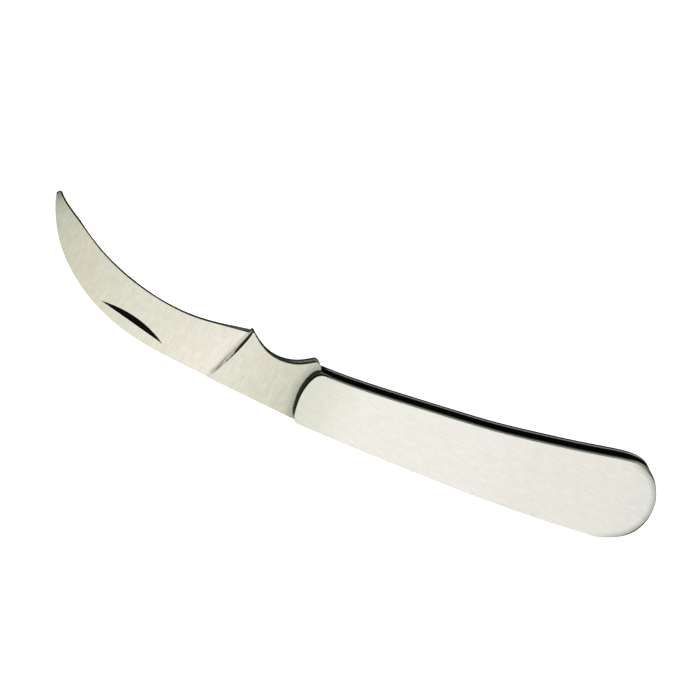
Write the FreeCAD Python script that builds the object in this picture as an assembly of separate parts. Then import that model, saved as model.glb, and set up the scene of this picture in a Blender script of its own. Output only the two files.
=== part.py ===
import FreeCAD, Part
import math
import os

# Folding slip-joint knife with a hooked blade, all in stainless steel, in millimetres.
# The knife lies open on its rear scale: the origin is the pivot's axis on that scale's outer face,
# +X runs along the handle to the butt, +Y is the side of the slot and of the cutting edge, and +Z
# goes through the knife to the front scale. The blade points along -X.

# Thicknesses through the knife
scale_thickness = 1.65
slot_width = 2.95
blade_thickness = 2.85
knife_thickness = 2 * scale_thickness + slot_width
middle_z = knife_thickness / 2

# Handle outline
front_back_corner = (-5.0, -7.42)
front_points = [(-6.6, -6.98), (-7.4, -6.0), (-8.0, -3.9), (-8.44, 0.1), (-8.2, 2.95), (-7.4, 5.65),
                (-6.4, 7.1)]
front_slot_corner = (-4.6, 7.69)
slot_edge_points = [(16.0, 7.26), (31.0, 7.53), (46.0, 8.0), (60.0, 9.2), (73.0, 10.64)]
butt_slot_end = (81.8, 11.72)
butt_points = [(85.8, 11.73), (89.3, 10.65), (91.3, 8.95), (93.1, 6.45), (94.6, 3.4), (95.22, -0.4),
               (94.6, -4.7), (92.5, -8.15), (89.4, -10.3), (86.2, -11.5)]
butt_back_end = (83.0, -12.1)
back_points = [(62.0, -12.0), (43.0, -11.18), (25.0, -9.95)]
# Directions in which one curve of that outline runs into the next
back_to_front = (-1.0, 0.09)
front_to_slot = (1.0, -0.08)
slot_to_butt = (1.0, 0.08)
butt_to_back = (-1.0, 0.0)
arris_round = 0.15         # rounding along the outer edges of the scales

# Pins
pivot_radius = 1.5
pivot_clearance = 0.03
spring_pin_at = (44.0, -8.8)
butt_pin_at = (83.0, -9.0)
spring_pin_radius = 1.2

# Slip joint: the tang turns against the spring's flat inner face
fold_angle = 158.0
flat_distance = 5.0        # from the pivot's axis to each flat of the tang
cam_radius = 5.6           # the tang's round end, which lifts the spring between the flats
flat_gap = 0.03
step_x = -4.0              # where the blade's back steps down behind the spring's end
step_gap = 0.15
spring_land_end = 5.0      # end of the face that the tang's flats rest on
land_margin = 0.5          # how much shorter than that face the second flat is
spring_thin_start = 8.5
spring_thin_y = -6.66      # inner face behind the land, where the kick comes to rest
butt_centre = (83.25, -0.2)
butt_wrap_inner = 10.2     # inner radius of the spring's end, round the butt's centre
butt_wrap_angle = 10.0     # degrees above the handle's middle line, where that end stops
beyond_handle = 40.0       # how far the opening's cut reaches past the handle

# Blade outline, from the ricasso to the tip
back_at_step = (-4.0, -7.55)
back_straight_end = (-24.2, -4.6)
spine_points = [(-33.75, -3.1), (-43.1, -1.62), (-52.45, 0.27), (-61.15, 3.17), (-69.25, 7.5),
                (-76.7, 13.4), (-83.2, 21.55), (-85.65, 26.75)]
tip_back = (-86.68, 30.17)
tip_slope = (-1.0, 6.0)    # direction of the spine where it reaches the tip
tip_round = (-85.97, 31.22)
tip_front = (-85.1, 31.2)
edge_points = [(-83.9, 30.26), (-81.15, 27.83), (-75.1, 22.95), (-67.4, 18.25), (-59.8, 14.95),
               (-50.9, 12.3), (-41.6, 11.15), (-34.0, 11.5), (-29.3, 12.12)]
edge_heel = (-26.7, 12.32)
heel_round = (-25.95, 12.1)
notch_front = (-25.5, 11.65)
notch_points = [(-23.8, 10.25), (-21.0, 8.47), (-18.0, 7.45), (-15.1, 7.26), (-12.2, 7.77), (-9.75, 8.88)]
kick_nose = (-8.0, 9.92)
kick_shoulder = (-6.52, 9.43)
kick_rear = (-5.88, 8.45)
kick_relief = (-4.8, 7.0)
blade_arris_round = 0.12
rounded_up_to = -7.3       # the edges behind the kick and those of the tang stay sharp

# Grind: flat from the spine to the edge bevel, the same on both sides
grind_start = 0.06         # how much the grind takes off each face at the spine
edge_land = 0.03           # half thickness left at the very edge
overrun = 1.2              # how far the grinding cuts run past the outline
plunge_edge_end = (-27.4, 11.0)     # where the plunge's hollow is deepest, at the cutting edge
plunge_spine_end = (-32.85, -2.1)   # and at the spine
plunge_edge_radius = 0.72  # the hollow's radius at the cutting edge
plunge_spine_radius = 3.4  # and at the spine
plunge_depth = 0.02        # how far the hollow goes below the flat grind, which leaves a fine crease
plunge_before_edge = 1.6   # how far the hollow's cut runs past the cutting edge
plunge_past_spine = 3.0    # and past the spine
clear_of_blade = 60.0      # a size that is past the blade on every side

# Nail nick, on the front side only
nick_middle = (-56.3, 4.42)
nick_length = 20.0
nick_width = 1.9
nick_depth = 0.7
nick_angle = -17.5
nick_face_drop = 0.24      # how far the ground face lies below the blade's full thickness there
grind_slope = 0.09         # how steeply that face falls towards the edge
nick_wheel_widths = 3      # the nick's wheel is this many times as thick as the nick is wide


def point(xy, z=0.0):
    return FreeCAD.Vector(xy[0], xy[1], z)


def straight(a, b):
    return Part.makeLine(point(a), point(b))


def arc(a, through, b):
    return Part.Arc(point(a), point(through), point(b)).toShape()


def smooth(vectors, **ends):
    spline = Part.BSplineCurve()
    spline.interpolate(Points=vectors, **ends)
    return spline.toShape()


def curve(points, start_slope=None, end_slope=None):
    """A smooth flat curve through the points, with its end directions where they are given."""
    vectors = [point(xy) for xy in points]
    if start_slope is None:
        return smooth(vectors)
    start, end = point(start_slope).normalize(), point(end_slope).normalize()
    return smooth(vectors, InitialTangent=start, FinalTangent=end, Scale=False)


def plate(edges, low, high):
    """A flat plate between two heights, with the closed outline that the edges make."""
    face = Part.Face(Part.Wire(edges))
    solid = face.extrude(FreeCAD.Vector(0, 0, high - low))
    solid.translate(FreeCAD.Vector(0, 0, low))
    return solid


def around_butt(angle, radius):
    turn = math.radians(angle)
    return (butt_centre[0] + radius * math.cos(turn), butt_centre[1] + radius * math.sin(turn))


def handle_outline():
    """The front end, the slot's edge, the round butt and the back."""
    return [
        curve([front_back_corner] + front_points + [front_slot_corner], back_to_front, front_to_slot),
        curve([front_slot_corner] + slot_edge_points + [butt_slot_end], front_to_slot, slot_to_butt),
        curve([butt_slot_end] + butt_points + [butt_back_end], slot_to_butt, butt_to_back),
        curve([butt_back_end] + back_points + [front_back_corner], butt_to_back, back_to_front),
    ]


def edges_at(solid, z, where):
    """The edges that lie flat at height z and whose middle point passes the test."""
    found = []
    for edge in solid.Edges:
        box = edge.BoundBox
        middle = edge.valueAt((edge.FirstParameter + edge.LastParameter) / 2)
        if abs(box.ZMin - z) < 1e-4 and abs(box.ZMax - z) < 1e-4 and where(middle):
            found.append(edge)
    return found


def pin(at, radius):
    return Part.makeCylinder(radius, knife_thickness, point(at))


pins = {
    "pivot_pin": ((0.0, 0.0), pivot_radius),
    "spring_pin": (spring_pin_at, spring_pin_radius),
    "butt_pin": (butt_pin_at, spring_pin_radius),
}


def drilled(solid, names):
    for name in names:
        solid = solid.cut(pin(*pins[name]))
    return solid


def scale(low, high, outer_z):
    solid = plate(handle_outline(), low, high)
    solid = solid.makeFillet(arris_round, edges_at(solid, outer_z, lambda middle: True))
    return drilled(solid, pins)


def backspring():
    """The spring fills the slot along the handle's back and ends round the butt."""
    spring = plate(handle_outline(), scale_thickness, scale_thickness + slot_width)
    far = beyond_handle
    end_x = step_x + step_gap
    land_y = -flat_distance - flat_gap
    wrap_start_angle = math.degrees(math.asin((spring_thin_y - butt_centre[1]) / butt_wrap_inner))
    wrap_start = around_butt(wrap_start_angle, butt_wrap_inner)
    wrap_middle = around_butt(wrap_start_angle / 2, butt_wrap_inner)
    wrap_end = around_butt(butt_wrap_angle, butt_wrap_inner)
    land_start = (end_x, land_y)
    inner_face = [land_start, (spring_land_end, land_y), (spring_thin_start, spring_thin_y), wrap_start]
    outside = [wrap_end, around_butt(butt_wrap_angle, far), (butt_centre[0], far),
               (-far, far), (-far, -far), (end_x, -far), land_start]
    opening = [straight(a, b) for a, b in zip(inner_face, inner_face[1:])]
    opening.append(arc(wrap_start, wrap_middle, wrap_end))
    opening += [straight(a, b) for a, b in zip(outside, outside[1:])]
    spring = spring.cut(plate(opening, 0, knife_thickness))
    return drilled(spring, ["spring_pin", "butt_pin"])


def blade_outline():
    """Back and spine, tip, cutting edge, finger notch, kick and tang."""
    flat_half = math.sqrt(cam_radius**2 - flat_distance**2)
    second_flat = math.radians(fold_angle - 90)

    def on_second_flat(along):
        return (flat_distance * math.cos(second_flat) - along * math.sin(second_flat),
                flat_distance * math.sin(second_flat) + along * math.cos(second_flat))

    flat_end = on_second_flat(spring_land_end - land_margin)
    back_direction = point(back_straight_end) - point(back_at_step)
    spine = curve([back_straight_end] + spine_points + [tip_back], back_direction, tip_slope)
    return [
        straight(back_at_step, back_straight_end),
        spine,
        arc(tip_back, tip_round, tip_front),
        curve([tip_front] + edge_points + [edge_heel]),
        arc(edge_heel, heel_round, notch_front),
        curve([notch_front] + notch_points + [kick_nose]),
        arc(kick_nose, kick_shoulder, kick_rear),
        arc(kick_rear, kick_relief, flat_end),
        straight(flat_end, on_second_flat(-flat_half)),
        arc(on_second_flat(-flat_half), (cam_radius, 0.0), (flat_half, -flat_distance)),
        straight((flat_half, -flat_distance), (step_x, -flat_distance)),
        straight((step_x, -flat_distance), back_at_step),
    ]


# Where the grind is measured across the blade: a place on the spine, the place across from it on the
# cutting edge, how much thinner the spine is there, the half thickness where the edge bevel starts,
# and the bevel's width. The first and the last lie past the ground part.
grind_stations = [
    ((-21.0, -4.8), (-20.0, 13.2), 0.0, 0.95, 0.95),
    ((-28.4, -3.9), (-26.9, 12.35), 0.0, 0.68, 0.8),
    ((-34.7, -2.8), (-33.0, 11.65), 0.0, 0.42, 0.52),
    ((-43.1, -1.43), (-41.6, 11.15), 0.0, 0.29, 0.42),
    ((-52.4, 0.46), (-49.5, 12.05), 0.0, 0.26, 0.38),
    ((-61.1, 3.3), (-57.2, 14.05), 0.0, 0.26, 0.38),
    ((-69.2, 7.58), (-64.8, 17.0), 0.0, 0.26, 0.38),
    ((-76.6, 13.5), (-72.0, 20.95), 0.1, 0.27, 0.38),
    ((-83.2, 21.6), (-79.0, 25.85), 0.3, 0.29, 0.38),
    ((-86.9, 30.3), (-85.4, 30.95), 0.7, 0.30, 0.40),
    ((-88.4, 34.1), (-87.4, 34.45), 0.8, 0.30, 0.40),
]
plunge_station = 1         # the station beside the plunge


def flat_grind(station):
    """The half thickness that a station's flat grind has at the spine, its slope, and its direction."""
    spine, edge, thinner, bevel_shoulder, bevel_width = station
    across = point(edge) - point(spine)
    spine_z = blade_thickness / 2 - grind_start - thinner
    slope = (spine_z - bevel_shoulder) / (across.Length - bevel_width)
    return spine_z, slope, across.normalize()


def grind_cut():
    """What grinding takes off the front side: the space above the flat grind and the edge bevel."""
    high = 2 * blade_thickness
    outside, shoulder, beyond = [], [], []
    for station in grind_stations:
        spine, edge, _, bevel_shoulder, bevel_width = station
        spine_z, slope, across = flat_grind(station)
        bevel_slope = (bevel_shoulder - edge_land) / bevel_width
        outside.append(point(spine, spine_z + slope * overrun) - across * overrun)
        shoulder.append(point(edge, bevel_shoulder) - across * bevel_width)
        beyond.append(point(edge, edge_land - bevel_slope * overrun) + across * overrun)

    def at_height(vectors, z):
        return [FreeCAD.Vector(v.x, v.y, z) for v in vectors]

    rails = [smooth(vectors) for vectors in (
        outside, shoulder, beyond, at_height(beyond, high), at_height(outside, high))]
    sides = [Part.makeRuledSurface(a, b) for a, b in zip(rails, rails[1:] + rails[:1])]

    def end_cap(at_end):
        corners = [rail.Vertexes[-1 if at_end else 0].Point for rail in rails]
        return Part.Face(Part.makePolygon(corners + corners[:1]))

    shell = Part.makeShell(sides + [end_cap(False), end_cap(True)])
    solid = Part.makeSolid(shell)
    if solid.Volume < 0:
        solid.reverse()
    return solid


def plunge_cuts(ground):
    """The flat grind stops at the plunge, a coned hollow: tight at the cutting edge, wide at the spine."""
    spine_z, slope, across = flat_grind(grind_stations[plunge_station])
    spine = point(grind_stations[plunge_station][0])

    def on_grind(xy):
        return point(xy, spine_z - slope * (point(xy) - spine).dot(across))

    start, finish = on_grind(plunge_edge_end), on_grind(plunge_spine_end)
    length = (finish - start).Length
    along = (finish - start).normalize()
    to_handle = point((-along.y, along.x)).normalize()
    upwards = along.cross(to_handle)
    # The flat grind is kept off everything on the handle's side of the hollow's deepest line.
    corners = [start - along * clear_of_blade, start + along * clear_of_blade]
    corners += [corner + to_handle * clear_of_blade for corner in reversed(corners)]
    corners = [point(corner, -clear_of_blade) for corner in corners]
    beside = Part.Face(Part.makePolygon(corners + corners[:1]))
    flat_cut = ground.cut(beside.extrude(FreeCAD.Vector(0, 0, 2 * clear_of_blade)))
    # The hollow is a cone that lies along that line.
    growth = (plunge_spine_radius - plunge_edge_radius) / length
    opening = math.atan(growth)
    axis = along * math.cos(opening) + upwards * math.sin(opening)
    outwards = upwards * math.cos(opening) - along * math.sin(opening)
    small = plunge_edge_radius - growth * plunge_before_edge
    large = plunge_spine_radius + growth * plunge_past_spine
    nose = start - along * plunge_before_edge + outwards * small - upwards * plunge_depth
    cone = Part.makeCone(small, large, (large - small) / math.tan(opening), nose, axis)
    return [flat_cut, cone]


def nick_cut():
    """A coned wheel: its flat side makes the nick's steep wall, its cone the sloping floor."""
    half = nick_length / 2
    wheel_radius = (half**2 + nick_depth**2) / (2 * nick_depth)
    floor_slope = nick_depth / nick_width - grind_slope
    reach = nick_wheel_widths * nick_width
    turn = math.radians(nick_angle + 90)
    axis = FreeCAD.Vector(math.cos(turn), math.sin(turn), 0)
    face_z = blade_thickness / 2 - nick_face_drop
    centre = point(nick_middle, face_z - nick_depth + wheel_radius)
    return Part.makeCone(wheel_radius, wheel_radius - floor_slope * reach, reach, centre, axis)


def mirrored(solid):
    return solid.mirror(FreeCAD.Vector(0, 0, 0), FreeCAD.Vector(0, 0, 1))


def blade():
    half = blade_thickness / 2
    solid = plate(blade_outline(), -half, half)

    for z in (half, -half):
        edges = edges_at(solid, z, lambda middle: middle.x < rounded_up_to)
        solid = solid.makeFillet(blade_arris_round, edges)
    cuts = plunge_cuts(grind_cut())
    for cut in cuts + [mirrored(cut) for cut in cuts]:
        solid = solid.cut(cut)
    solid = solid.cut(nick_cut())
    solid.translate(FreeCAD.Vector(0, 0, middle_z))
    return solid.cut(pin((0.0, 0.0), pivot_radius + pivot_clearance))


def single(shape):
    """The one solid in a shape."""
    if len(shape.Solids) != 1:
        raise ValueError("expected one solid, got %d" % len(shape.Solids))
    return shape.Solids[0]


nodes = {
    "blade": blade(),
    "front_scale": scale(scale_thickness + slot_width, knife_thickness, knife_thickness),
    "rear_scale": scale(0.0, scale_thickness, 0.0),
    "backspring": backspring(),
}
for name, (at, radius) in pins.items():
    nodes[name] = pin(at, radius)

os.makedirs("parts", exist_ok=True)
for name, shape in nodes.items():
    solid = single(shape)
    solid.exportStep("parts/" + name + ".step")
    box = solid.BoundBox
    print("%-12s valid=%s volume=%.1f mm3  x %.2f..%.2f  y %.2f..%.2f  z %.2f..%.2f" % (
        name, solid.isValid(), solid.Volume, box.XMin, box.XMax, box.YMin, box.YMax, box.ZMin, box.ZMax))
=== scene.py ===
import math

import bpy
from mathutils import Matrix, Vector


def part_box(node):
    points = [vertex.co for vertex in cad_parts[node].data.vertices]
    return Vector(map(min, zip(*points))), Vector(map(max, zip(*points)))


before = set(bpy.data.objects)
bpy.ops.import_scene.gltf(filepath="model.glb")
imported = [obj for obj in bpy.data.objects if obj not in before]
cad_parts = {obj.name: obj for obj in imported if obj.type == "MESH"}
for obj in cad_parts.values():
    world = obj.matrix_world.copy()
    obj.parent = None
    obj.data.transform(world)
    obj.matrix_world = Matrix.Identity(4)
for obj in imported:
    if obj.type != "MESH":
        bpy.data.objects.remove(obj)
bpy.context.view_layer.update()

# Looks of a folding knife with a hooked blade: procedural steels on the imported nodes, a pale floor,
# soft studio light and the camera. Everything is in metres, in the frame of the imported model.
MM = 0.001

# Sizes taken from the frame
blade_low, blade_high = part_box("blade")
scale_low, scale_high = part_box("front_scale")
rear_low, rear_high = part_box("rear_scale")
knife_top = scale_high.z
middle_z = knife_top / 2
slot_low = rear_high.z
slot_high = scale_low.z
scale_thickness = rear_high.z - rear_low.z
blade_thickness = blade_high.z - blade_low.z

# The handle's round butt and bowed front end
handle_length = scale_high.x - scale_low.x
half_way = (scale_low.x + scale_high.x) / 2
butt_radius = (scale_high.y - scale_low.y) / 2
butt_x = scale_high.x - butt_radius
butt_y = (scale_high.y + scale_low.y) / 2
front_arc_radius = 16.0 * MM
front_arc_x = scale_low.x + front_arc_radius

# The plunge runs from the cutting edge to the spine, and leans towards the tip
plunge_edge = Vector((-27.5 * MM, 11.0 * MM, 0.0))
plunge_lean = 5.6 / 13.0               # this much towards the tip per length across
hollow_start = -0.22 * MM              # where its hollow starts, measured past the plunge's line
hollow_end = 2.4 * MM

# The nail nick
nick_place = Vector((-56.2 * MM, 5.1 * MM, 0.0))
nick_turn = math.radians(-17.5)
nick_half_length = 12.25 * MM
nick_half_width = 1.75 * MM

# The brushed grain's layers: how far each is turned, its lines' length and width, and its share
grain_layers = [
    (0, 3.5 * MM, 0.15 * MM, 0.5),
    (4, 6 * MM, 0.5 * MM, 0.25),
    (-17, 3 * MM, 0.25 * MM, 0.25),
]
mottle_size = 1.6 * MM
tint_size = 2.0 * MM
grain_depth = 0.005 * MM
scale_grain_depth = 0.004 * MM

# Roughness of the satin steel, and what is added to it or taken off
satin_rough = 0.30
mottle_rough = 0.10
unpolished_rough = 0.35                # inside the slot and in the nail nick
side_rough = 0.12                      # on the scales' edges
flat_polish = 0.14                     # the ricasso and the tang are this much smoother
spring_rough = 0.34
spring_mottle_rough = 0.12

# Tones of the places painted in shade, and of the places that aren't ground bright
slot_painted_shade = (0.012, 0.011, 0.010)
nick_painted_shade = (0.016, 0.013, 0.010)
spring_slot_painted_shade = (0.02, 0.021, 0.019)
butt_edge_painted_shade = (0.03, 0.033, 0.03)
butt_outline_painted_shadow = (0.05, 0.06, 0.05)
butt_rolloff_painted_shade = (0.42, 0.44, 0.41)
front_end_painted_shade = (0.008, 0.006, 0.004)
front_end_painted_brown_shade = (0.26, 0.24, 0.19)
scale_back_grey = (0.40, 0.41, 0.39)
bevel_dark = (0.030, 0.042, 0.034)
bevel_wedge_grey = (0.13, 0.155, 0.13)
hollow_painted_shade = (0.035, 0.045, 0.036)
notch_painted_shade = (0.03, 0.037, 0.031)
spine_grey = (0.35, 0.36, 0.33)
tang_painted_shade_grey = (0.25, 0.28, 0.23)
spring_tone = (0.62, 0.61, 0.57)


class Steel:
    """One material's nodes. A socket, a number or a tuple can be given as any input."""

    def __init__(self, name):
        self.material = bpy.data.materials.new(name)
        self.material.use_nodes = True
        self.tree = self.material.node_tree
        self.tree.nodes.clear()
        coordinates = self.node("TexCoord")
        self.place = coordinates.outputs["Object"]
        self.normal = coordinates.outputs["Normal"]
        self.x, self.y, self.z = self.split(self.place)
        self.nx, self.ny, self.nz = self.split(self.normal)

    def node(self, kind, inputs=None, **settings):
        made = self.tree.nodes.new("ShaderNode" + kind)
        for key, value in settings.items():
            setattr(made, key, value)
        for key, value in (inputs or {}).items():
            if isinstance(value, bpy.types.NodeSocket):
                self.tree.links.new(value, made.inputs[key])
            else:
                made.inputs[key].default_value = value
        return made

    def split(self, vector):
        return self.node("SeparateXYZ", {0: vector}).outputs

    def math(self, operation, a, b=0.0):
        return self.node("Math", {0: a, 1: b}, operation=operation).outputs[0]

    def chain(self, operation, values):
        result = values[0]
        for value in values[1:]:
            result = self.math(operation, result, value)
        return result

    def plus(self, *values):
        return self.chain("ADD", values)

    def times(self, *values):
        return self.chain("MULTIPLY", values)

    def largest(self, *values):
        return self.chain("MAXIMUM", values)

    def minus(self, a, b):
        return self.math("SUBTRACT", a, b)

    def size(self, value):
        return self.math("ABSOLUTE", value)

    def swing(self, noise, amount):
        """Noise, which lies about one half, turned into a swing to both sides of zero."""
        return self.times(self.minus(noise, 0.5), amount)

    def dot(self, a, b):
        return self.node("VectorMath", {0: a, 1: b}, operation="DOT_PRODUCT").outputs["Value"]

    def offset(self, place):
        return self.node("VectorMath", {0: self.place, 1: place}, operation="SUBTRACT").outputs["Vector"]

    def from_axis(self, x, y):
        """The distance from an upright axis."""
        dx = self.minus(self.x, x)
        dy = self.minus(self.y, y)
        return self.math("SQRT", self.plus(self.times(dx, dx), self.times(dy, dy)))

    def rise(self, value, low, high):
        """0 below low and 1 above high, smoothly; low may be the larger one."""
        return self.node("MapRange", {"Value": value, "From Min": low, "From Max": high},
                         interpolation_type="SMOOTHSTEP").outputs[0]

    def band(self, value, middle, none, full):
        """1 within full of the middle and 0 beyond none of it, smoothly."""
        return self.rise(self.size(self.minus(value, middle)), none, full)

    def blend(self, share, a, b, operation="MIX"):
        """Two colours blended by share: sockets, or red, green and blue."""
        a, b = (tuple(colour) + (1.0,) if isinstance(colour, tuple) else colour for colour in (a, b))
        factor_input, a_input, b_input = 0, 6, 7
        made = self.node("Mix", {factor_input: share, a_input: a, b_input: b},
                         data_type="RGBA", blend_type=operation)
        return made.outputs[2]

    def grain(self, angle, along, across):
        """Noise drawn out along a direction in the knife's plane; along and across are its sizes."""
        turned = self.node("Mapping", {"Vector": self.place, "Rotation": (0.0, 0.0, math.radians(angle)),
                                       "Scale": (along, across, along)}, vector_type="TEXTURE")
        return self.node("TexNoise", {"Vector": turned.outputs[0], "Scale": 1.0, "Detail": 4.0,
                                      "Roughness": 0.6}).outputs["Fac"]

    def ramp(self, value, low, high, stops):
        """Colours at places between low and high, blended in between."""
        share = self.node("MapRange", {"Value": value, "From Min": low, "From Max": high}).outputs[0]
        made = self.node("ValToRGB", {0: share})
        elements = made.color_ramp.elements
        while len(elements) < len(stops):
            elements.new(0.5)
        for element, (place, colour) in zip(elements, stops):
            element.position = (place - low) / (high - low)
            element.color = tuple(colour) + (1.0,)
        return made.outputs[0]

    def cloud(self, size, detail=3.0):
        return self.node("TexNoise", {"Vector": self.place, "Scale": 1.0 / size, "Detail": detail,
                                      "Roughness": 0.55}).outputs["Fac"]

    def finish(self, colour, roughness, height, bump, dull):
        """The shader. Where dull is 1 the steel is unpolished and doesn't reflect; its dark colour there is
        mostly painted shade.
        """
        normal = self.node("Bump", {"Height": height, "Strength": 1.0, "Distance": bump}).outputs[0]
        shader = self.node("BsdfPrincipled", {"Base Color": colour, "Roughness": roughness,
                                              "Metallic": self.minus(1.0, dull),
                                              "Specular IOR Level": 0.0, "Normal": normal})
        output = self.node("OutputMaterial", {"Surface": shader.outputs[0]})
        output.is_active_output = True
        return self.material


def satin(made, tone, tints, angle, grain_share, mottle_share):
    """The ground surface's colour, varied by grain, mottles and two faint tints; the grain; the mottles."""
    layers = [made.times(made.grain(angle + turn, along, across), share)
              for turn, along, across, share in grain_layers]
    lines = made.plus(*layers)
    mottles = made.cloud(mottle_size)
    level = made.plus(made.swing(lines, grain_share), made.swing(mottles, mottle_share), 1.0)
    patches = made.rise(made.cloud(tint_size, 2.0), 0.38, 0.62)
    tint = made.blend(patches, *tints)
    tinted = made.blend(1.0, tone, tint, "MULTIPLY")
    colour = made.node("VectorMath", {0: tinted, "Scale": level}, operation="SCALE").outputs["Vector"]
    return colour, lines, mottles


def scale_edge_painted_shading(made):
    """A wavering height, and the edges' colour by that height: painted shade, with a painted light band on
    each scale.
    """
    height = made.plus(made.z, made.swing(made.grain(0, 5 * MM, 0.4 * MM), 0.35 * MM))
    return height, made.ramp(height, 0.0, knife_top, [
        (0.0, (0.008, 0.008, 0.008)),
        (0.52 * scale_thickness, (0.010, 0.010, 0.010)),
        (0.68 * scale_thickness, (0.30, 0.285, 0.285)),
        (0.98 * scale_thickness, (0.22, 0.21, 0.205)),
        (slot_low, (0.01, 0.01, 0.01)),
        (slot_high + 0.3 * scale_thickness, (0.012, 0.013, 0.011)),
        (slot_high + 0.55 * scale_thickness, (0.19, 0.21, 0.185)),
        (knife_top, (0.26, 0.28, 0.25)),
    ])


def scale_steel():
    made = Steel("scale_satin_steel")
    # The tone is darker beside the pivot and towards the butt.
    tone = made.ramp(made.x, scale_low.x, scale_high.x, [
        (scale_low.x, (0.76, 0.75, 0.70)),
        (scale_low.x + 7 * MM, (0.80, 0.785, 0.735)),
        (scale_low.x + 16 * MM, (0.90, 0.865, 0.85)),
        (half_way, (0.885, 0.84, 0.845)),
        (half_way + 16 * MM, (0.855, 0.81, 0.805)),
        (butt_x, (0.85, 0.81, 0.81)),
        (scale_high.x, (0.80, 0.785, 0.785)),
    ])
    tints = ((1.0, 0.985, 0.985), (0.98, 1.0, 0.98))
    colour, lines, mottles = satin(made, tone, tints, angle=-14, grain_share=0.7, mottle_share=0.14)
    upright = made.size(made.nz)
    height, edge_tone = scale_edge_painted_shading(made)
    # Round the butt the edge and its arris are painted dark as shade.
    at_butt = made.rise(made.x, butt_x + 1 * MM, butt_x + 7 * MM)
    butt_edge = made.times(at_butt, made.rise(made.nx, 0.0, 0.3))
    edge_tone = made.blend(butt_edge, edge_tone, butt_edge_painted_shade)
    # The front end is painted black as shade, with a browner painted shade beside the blade.
    at_front = made.rise(made.x, scale_low.x + 6.5 * MM, scale_low.x + 4 * MM)
    beside_blade = made.rise(height, slot_high + 0.5 * scale_thickness, slot_high + 0.05 * scale_thickness)
    beside_blade = made.times(beside_blade, made.math("GREATER_THAN", made.z, middle_z))
    front_end_shade_tone = made.blend(beside_blade, front_end_painted_shade, front_end_painted_brown_shade)
    edge_tone = made.blend(at_front, edge_tone, front_end_shade_tone)
    # Along the back the edges are plain grey steel.
    to_slot = made.rise(made.ny, -0.5, -0.1)
    edge_tone = made.blend(to_slot, scale_back_grey, edge_tone)
    # The steep edges take that colour: painted shade and painted light bands, and plain grey along the
    # back.
    steep = made.largest(made.rise(upright, 0.7, 0.4),
                         made.times(butt_edge, made.rise(upright, 0.97, 0.85)))
    colour = made.blend(steep, colour, edge_tone)
    # Round the butt a painted grey shade stands in for the rounded roll-off, and its outermost line is
    # painted dark as a shadow line.
    radius = made.from_axis(butt_x, butt_y)
    rim = made.times(made.rise(radius, butt_radius - 2.2 * MM, butt_radius + 0.2 * MM),
                     made.rise(made.x, butt_x - 2 * MM, butt_x + 6 * MM))
    colour = made.blend(rim, colour, butt_rolloff_painted_shade)
    outermost = made.rise(radius, butt_radius - 0.30 * MM, butt_radius - 0.10 * MM)
    colour = made.blend(made.times(at_butt, outermost, 0.85), colour, butt_outline_painted_shadow)
    # Inside the slot the steel is painted near-black as shade.
    slot_half = slot_high - middle_z
    inside = made.band(made.z, middle_z, slot_half + 0.06 * MM, slot_half + 0.01 * MM)
    colour = made.blend(inside, colour, slot_painted_shade)
    rough = made.plus(satin_rough, made.times(mottles, mottle_rough), made.times(steep, side_rough),
                      made.times(inside, unpolished_rough))
    dull = made.largest(inside, made.times(steep, to_slot))
    return made.finish(colour, rough, lines, scale_grain_depth, dull)


def past_plunge(made):
    """How far a place lies past the plunge's line, along X towards the handle."""
    lean = made.times(made.minus(plunge_edge.y, made.y), plunge_lean)
    return made.plus(made.minus(made.x, plunge_edge.x), lean)


def blade_tone(made, on_flat):
    """The ground part is darker and greener towards the tip; the ricasso and tang have their own tone."""
    length = -blade_low.x
    ground = made.ramp(made.x, blade_low.x, 0.0, [
        (blade_low.x, (0.53, 0.545, 0.47)),
        (blade_low.x + 0.05 * length, (0.64, 0.65, 0.555)),
        (blade_low.x + 0.15 * length, (0.755, 0.71, 0.62)),
        (blade_low.x + 0.3 * length, (0.82, 0.805, 0.73)),
        (blade_low.x + 0.5 * length, (0.90, 0.85, 0.80)),
        (plunge_edge.x, (0.94, 0.89, 0.86)),
    ])
    flat = made.ramp(made.x, plunge_edge.x, scale_low.x, [
        (plunge_edge.x, (0.69, 0.665, 0.62)),
        (0.5 * plunge_edge.x, (0.605, 0.58, 0.525)),
        (scale_low.x, (0.54, 0.54, 0.485)),
    ])
    return made.blend(on_flat, ground, flat)


def blade_side_painted_shading(made, on_edge_side):
    """The notch's side is painted dark as shade; the kick's is painted black as shade along both rims and
    greyer between them.
    """
    height = made.plus(made.z, made.swing(made.cloud(0.5 * MM), 1.2 * MM))
    kick = made.ramp(height, blade_low.z, blade_high.z, [
        (blade_low.z, (0.008, 0.009, 0.008)),
        (blade_low.z + 0.25 * blade_thickness, (0.012, 0.013, 0.012)),
        (blade_low.z + 0.45 * blade_thickness, (0.17, 0.195, 0.165)),
        (blade_low.z + 0.65 * blade_thickness, (0.14, 0.155, 0.135)),
        (blade_low.z + 0.75 * blade_thickness, (0.008, 0.008, 0.007)),
        (blade_high.z, (0.006, 0.006, 0.005)),
    ])
    at_kick = made.rise(made.x, scale_low.x - 7 * MM, scale_low.x - 2.5 * MM)
    tone = made.blend(at_kick, notch_painted_shade, kick)
    return made.blend(on_edge_side, spine_grey, tone)


def in_nail_nick(made, upright):
    offset = made.offset(tuple(nick_place))
    cosine, sine = math.cos(nick_turn), math.sin(nick_turn)
    along = made.dot(offset, (cosine, sine, 0.0))
    across = made.dot(offset, (-sine, cosine, 0.0))
    blur = 0.25 * MM
    side_blur = 0.15 * MM
    floor_and_walls = made.rise(upright, 0.992, 0.982)
    return made.times(
        made.rise(made.size(along), nick_half_length + blur, nick_half_length - blur),
        made.rise(made.size(across), nick_half_width + side_blur, nick_half_width - side_blur),
        floor_and_walls)


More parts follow.
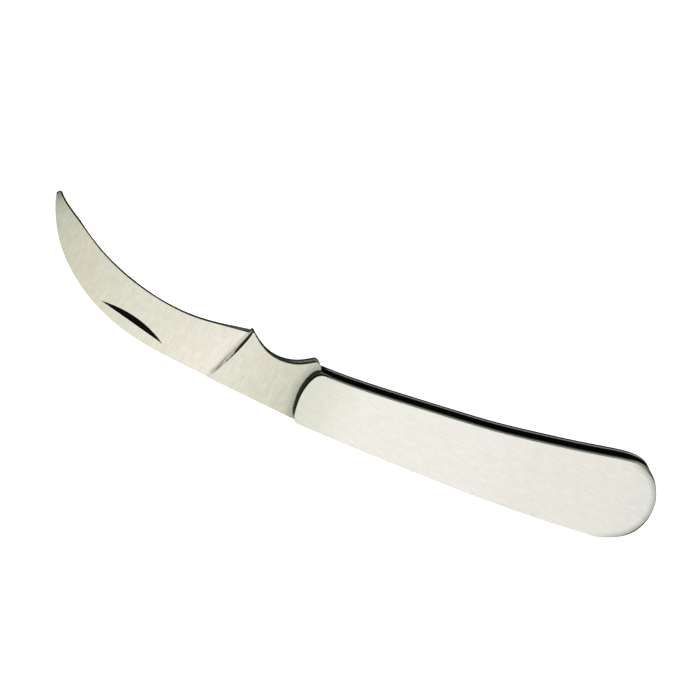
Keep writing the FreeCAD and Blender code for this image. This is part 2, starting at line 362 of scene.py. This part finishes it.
def blade_steel():
    made = Steel("blade_satin_steel")
    past = past_plunge(made)
    on_flat = made.rise(past, 0.2 * MM, 0.9 * MM)
    tints = ((1.0, 0.975, 0.955), (0.975, 1.0, 0.975))
    tone = blade_tone(made, on_flat)
    colour, lines, mottles = satin(made, tone, tints, angle=80, grain_share=0.85, mottle_share=0.28)
    upright = made.size(made.nz)
    steep = made.rise(upright, 0.7, 0.4)
    # The cutting edge's bevel is dark, and greyer inside the wedge that it makes at the heel.
    bevel = made.times(made.rise(upright, 0.985, 0.93), made.rise(made.ny, 0.05, 0.25),
                       made.rise(made.nx, -0.30, -0.22), made.rise(past, 1.0 * MM, 0.3 * MM))
    wedge = made.times(made.rise(made.x, plunge_edge.x - 9 * MM, plunge_edge.x - 2 * MM),
                       made.band(made.z, middle_z, 0.55 * MM, 0.40 * MM))
    bevel_tone = made.blend(wedge, bevel_dark, bevel_wedge_grey)
    colour = made.blend(bevel, colour, bevel_tone)
    # The plunge's hollow is painted with a fine dark line of shade along the crease where it starts, and
    # with painted shade on its wall beside the ricasso.
    in_hollow = made.times(made.rise(past, -0.5 * MM, -0.2 * MM),
                           made.rise(past, hollow_end + 0.2 * MM, hollow_end - 0.2 * MM))
    wall = made.times(in_hollow, made.rise(upright, 0.95, 0.86))
    crease = made.times(made.band(past, hollow_start, 0.16 * MM, 0.05 * MM),
                        made.rise(made.y, -3.0 * MM, plunge_edge.y))
    hollow = made.largest(wall, made.times(crease, 0.5))
    colour = made.blend(made.times(hollow, made.minus(1.0, bevel)), colour, hollow_painted_shade)
    # The sides towards the cutting edge are painted dark as shade, and the spine's side is grey.
    on_edge_side = made.rise(made.ny, -0.2, 0.1)
    colour = made.blend(steep, colour, blade_side_painted_shading(made, on_edge_side))
    # The nail nick is painted dark all over as shade in its recess.
    in_nick = in_nail_nick(made, upright)
    colour = made.blend(in_nick, colour, nick_painted_shade)
    # The tang is painted with streaky shade beside the scales' bowed front end.
    streaks = made.swing(made.grain(-70, 2.5 * MM, 0.35 * MM), 4.0 * MM)
    from_front = made.plus(made.from_axis(front_arc_x, 0.0), streaks)
    shade = made.rise(from_front, front_arc_radius + 3.4 * MM, front_arc_radius + 0.3 * MM)
    colour = made.blend(made.times(shade, 0.6), colour, tang_painted_shade_grey)
    rough = made.plus(satin_rough, made.times(mottles, mottle_rough),
                      made.times(in_nick, unpolished_rough))
    rough = made.minus(rough, made.times(on_flat, flat_polish))
    dull = made.largest(bevel, wall, made.times(steep, on_edge_side), in_nick)
    return made.finish(colour, rough, lines, grain_depth, dull)


def spring_steel():
    """Satin on the outside, with painted shade on the faces that look into the slot."""
    made = Steel("spring_satin_steel")
    tints = ((1.0, 0.99, 0.98), (0.985, 1.0, 0.985))
    colour, lines, mottles = satin(made, spring_tone, tints, angle=0, grain_share=0.5, mottle_share=0.12)
    near_x = made.math("MINIMUM", made.x, butt_x)
    axis_point = made.node("CombineXYZ", {0: near_x, 1: butt_y, 2: made.z}).outputs[0]
    facing = made.dot(made.offset(axis_point), made.normal)
    inner = made.rise(facing, 1 * MM, -1 * MM)
    # The faces that look into the slot are painted dark as shade.
    colour = made.blend(inner, colour, spring_slot_painted_shade)
    rough = made.plus(spring_rough, made.times(mottles, spring_mottle_rough))
    return made.finish(colour, rough, lines, grain_depth, inner)


looks = {
    "blade": blade_steel(),
    "front_scale": scale_steel(),
    "backspring": spring_steel(),
}
looks["rear_scale"] = looks["front_scale"]
for pin in ("pivot_pin", "spring_pin", "butt_pin"):
    looks[pin] = looks["front_scale"]
for name, material in looks.items():
    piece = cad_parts[name]
    piece.data.materials.clear()
    piece.data.materials.append(material)

# Camera
view_tilt = math.radians(28.5)       # from straight above
view_heading = math.radians(41.0)
view_roll = math.radians(19.0)
view_distance = 747.9 * MM
view_target = Vector((0.5 * MM, 14.2 * MM, 0.0))
ahead = Vector((math.cos(view_heading), math.sin(view_heading), 0.0))
aside = Vector((-math.sin(view_heading), math.cos(view_heading), 0.0))
up_axis = Vector((0.0, 0.0, 1.0))
back = math.cos(view_tilt) * up_axis + math.sin(view_tilt) * aside
level_up = math.cos(view_tilt) * aside - math.sin(view_tilt) * up_axis
camera_right = math.cos(view_roll) * ahead - math.sin(view_roll) * level_up
camera_up = math.sin(view_roll) * ahead + math.cos(view_roll) * level_up
camera_data = bpy.data.cameras.new("camera")
camera_data.lens = 150.0
camera_data.sensor_width = 36.0
camera_data.clip_start = 0.01
camera_data.clip_end = 20.0
camera = bpy.data.objects.new("camera", camera_data)
bpy.context.scene.collection.objects.link(camera)
turn = Matrix((camera_right, camera_up, back)).transposed()
camera.matrix_world = Matrix.Translation(view_target + back * view_distance) @ turn.to_4x4()
bpy.context.scene.camera = camera

# Floor
floor_mesh = bpy.data.meshes.new("floor")
reach = 3.0
floor_mesh.from_pydata([(-reach, -reach, 0), (reach, -reach, 0), (reach, reach, 0), (-reach, reach, 0)], [],
                       [(0, 1, 2, 3)])
floor = bpy.data.objects.new("floor", floor_mesh)
floor.location.z = -0.05 * MM
bpy.context.scene.collection.objects.link(floor)
paper = bpy.data.materials.new("floor_paper")
paper.use_nodes = True
shader = paper.node_tree.nodes["Principled BSDF"]
shader.inputs["Base Color"].default_value = (0.9, 0.9, 0.9, 1)
shader.inputs["Roughness"].default_value = 0.9
shader.inputs["Emission Color"].default_value = (1, 1, 1, 1)
shader.inputs["Emission Strength"].default_value = 0.9
floor_mesh.materials.append(paper)

# Lights
world = bpy.data.worlds.new("studio")
world.use_nodes = True
world.node_tree.nodes["Background"].inputs["Color"].default_value = (0.24, 0.27, 0.225, 1)
world.node_tree.nodes["Background"].inputs["Strength"].default_value = 1.0
bpy.context.scene.world = world


def softbox(name, place, aim, width, height, radiance, colour):
    """A light panel that looks equally bright whatever its size."""
    data = bpy.data.lights.new(name, "AREA")
    data.shape = "RECTANGLE"
    data.size, data.size_y = width, height
    data.energy = radiance * math.pi * width * height
    data.color = colour
    light = bpy.data.objects.new(name, data)
    bpy.context.scene.collection.objects.link(light)
    light.location = place
    light.rotation_mode = "QUATERNION"
    light.rotation_quaternion = (aim - place).to_track_quat("-Z", "Y")


# The key panel stands where the flat faces mirror it into the camera
light_distance = 0.7
bright_place = Vector((scale_low.x + 0.25 * handle_length, 0.0, knife_top))
camera_place = camera.matrix_world.translation
mirror_place = Vector((camera_place.x, camera_place.y, 2 * knife_top - camera_place.z))
towards = (bright_place - mirror_place).normalized()
softbox("key", bright_place + towards * light_distance, bright_place,
        width=0.5, height=0.62, radiance=0.92, colour=(1.0, 0.985, 0.955))
# Two smaller panels that the flat faces don't reflect: one for the arrises along the slot and the notch,
# and a weak one for the plunge's hollow
rim_side = Vector((0.31, 0.45, 0.84)).normalized()
softbox("rim", bright_place + rim_side * light_distance, bright_place,
        width=0.3, height=0.3, radiance=1.4, colour=(1.0, 1.0, 1.0))
low_side = Vector((-0.36, -0.10, 0.93)).normalized()
softbox("side", plunge_edge + low_side * light_distance, plunge_edge,
        width=0.16, height=0.3, radiance=0.7, colour=(1.0, 1.0, 0.97))

bpy.context.scene.view_settings.view_transform = "Standard"
bpy.context.scene.view_settings.look = "None"
